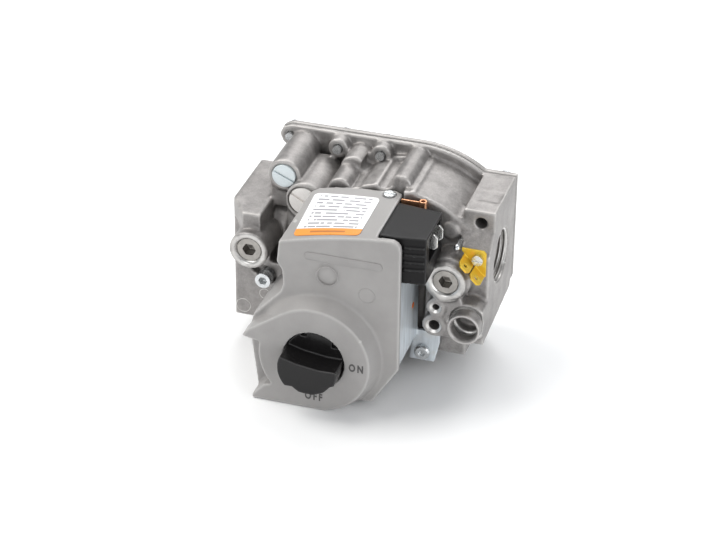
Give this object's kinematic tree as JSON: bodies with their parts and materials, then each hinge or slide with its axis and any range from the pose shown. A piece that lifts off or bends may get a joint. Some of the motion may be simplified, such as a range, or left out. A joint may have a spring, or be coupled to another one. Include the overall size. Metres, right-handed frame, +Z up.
{
  "type": "gas control valve",
  "caption": "Combination gas control valve with a rotary on-off knob, solenoid operator, pressure regulator, tapped ports and a spade terminal block.",
  "frame": {"origin": "centre of the inlet port face", "axes": "+X along the pipe axis from inlet to outlet, +Y from the knob side to the diaphragm cover, +Z up as the valve lies on its side"},
  "size_m": [0.1068, 0.093, 0.0844],
  "materials": {
    "cast_aluminium": "as die-cast",
    "machined_aluminium": "turned",
    "black_rubber": "matt",
    "grey_rubber": "fabric-reinforced sheet",
    "zinc_steel": "bright zinc plated",
    "zinc_sheet": "blue-bright zinc plated sheet",
    "spring_steel": "drawn wire",
    "stainless_steel": "turned",
    "brass": "turned",
    "black_plastic": "moulded",
    "grey_plastic": "moulded, fine texture",
    "white_plastic": "moulded",
    "label_film": "printed film",
    "copper_wire": "enamelled winding",
    "copper_strip": "rolled strip",
    "tinned_brass": "tinned",
    "yellow_chromate": "yellow chromate",
    "plug_steel": "plain steel, oiled",
    "white_metal": "pale satin",
    "pale_zinc": "pale blue zinc"
  },
  "bodies": {
    "housing": {"valve_body": "cast_aluminium", "diaphragm": "grey_rubber", "diaphragm_cover": "cast_aluminium", "diaphragm_cover_screws": "zinc_steel", "main_valve_spring": "spring_steel", "manual_valve_seat": "machined_aluminium", "stem_seal": "black_rubber", "front_cover": "grey_plastic", "cover_label": "label_film", "cover_screw": "zinc_steel", "solenoid_frame": "zinc_sheet", "frame_screw": "zinc_steel", "core_tube": "stainless_steel", "coil_bobbin": "black_plastic", "coil_winding": "copper_wire", "fixed_core": "stainless_steel", "plunger_spring": "spring_steel", "terminal_block": "black_plastic", "spade_terminals": "tinned_brass", "block_clip": "copper_strip", "ground_terminal": "yellow_chromate", "ground_screw": "zinc_steel", "locating_pin": "zinc_steel", "inlet_tap_plug": "plug_steel", "outlet_tap_plug": "plug_steel", "regulator_cap": "white_metal", "regulator_cap_seal": "black_rubber", "pilot_cap": "pale_zinc", "pilot_cap_seal": "black_rubber", "regulator_spring": "spring_steel", "body_screw": "zinc_steel", "inlet_screen": "stainless_steel"},
    "knob": {"control_knob": "black_plastic", "knob_stem": "brass", "manual_valve_rotor": "brass"},
    "main_valve": {"main_valve_disc": "black_rubber", "main_valve_holder": "machined_aluminium", "diaphragm_plate": "machined_aluminium"},
    "plunger": {"plunger": "stainless_steel", "plunger_seal": "black_rubber"},
    "spring_button": {"spring_button": "brass"},
    "regulator_screw": {"regulator_adjuster": "white_plastic"},
    "pilot_seal": {"pilot_adjuster_seal": "black_rubber"},
    "pilot_screw": {"pilot_adjuster": "brass"}
  },
  "joints": [
    {"name": "knob_turn", "type": "hinge", "parent": "housing", "child": "knob", "pos_m": [0.047, -0.0535, -0.0286], "axis": [0, -1, 0], "range_deg": [0, 90]},
    {"name": "main_valve_lift", "type": "slide", "parent": "housing", "child": "main_valve", "axis": [0, 1, 0], "range_m": [0, 0.003], "stiffness_N_per_m": 250, "springref_m": -0.004, "deforming": ["main_valve_spring", "diaphragm"]},
    {"name": "plunger_pull", "type": "slide", "parent": "housing", "child": "plunger", "axis": [0, -1, 0], "range_m": [0, 0.002], "stiffness_N_per_m": 150, "springref_m": -0.004, "deforming": ["plunger_spring"]},
    {"name": "spring_button_travel", "type": "slide", "parent": "housing", "child": "spring_button", "axis": [0, 1, 0], "range_m": [-0.002, 0.002], "deforming": ["regulator_spring"]},
    {"name": "regulator_turn", "type": "hinge", "parent": "spring_button", "child": "regulator_screw", "pos_m": [0.029, -0.006, 0.0166], "axis": [0, 1, 0], "range_deg": [-720, 720]},
    {"name": "pilot_seal_travel", "type": "slide", "parent": "housing", "child": "pilot_seal", "axis": [0, 1, 0], "range_m": [-0.001, 0.001]},
    {"name": "pilot_turn", "type": "hinge", "parent": "pilot_seal", "child": "pilot_screw", "pos_m": [0.02, -0.0035, 0.0248], "axis": [0, 1, 0], "range_deg": [-720, 720]}
  ],
  "couplings": [
    {"joint": "regulator_turn", "follows": "spring_button_travel", "rad_per_m": 6283.2},
    {"joint": "pilot_turn", "follows": "pilot_seal_travel", "rad_per_m": 12566}
  ]
}
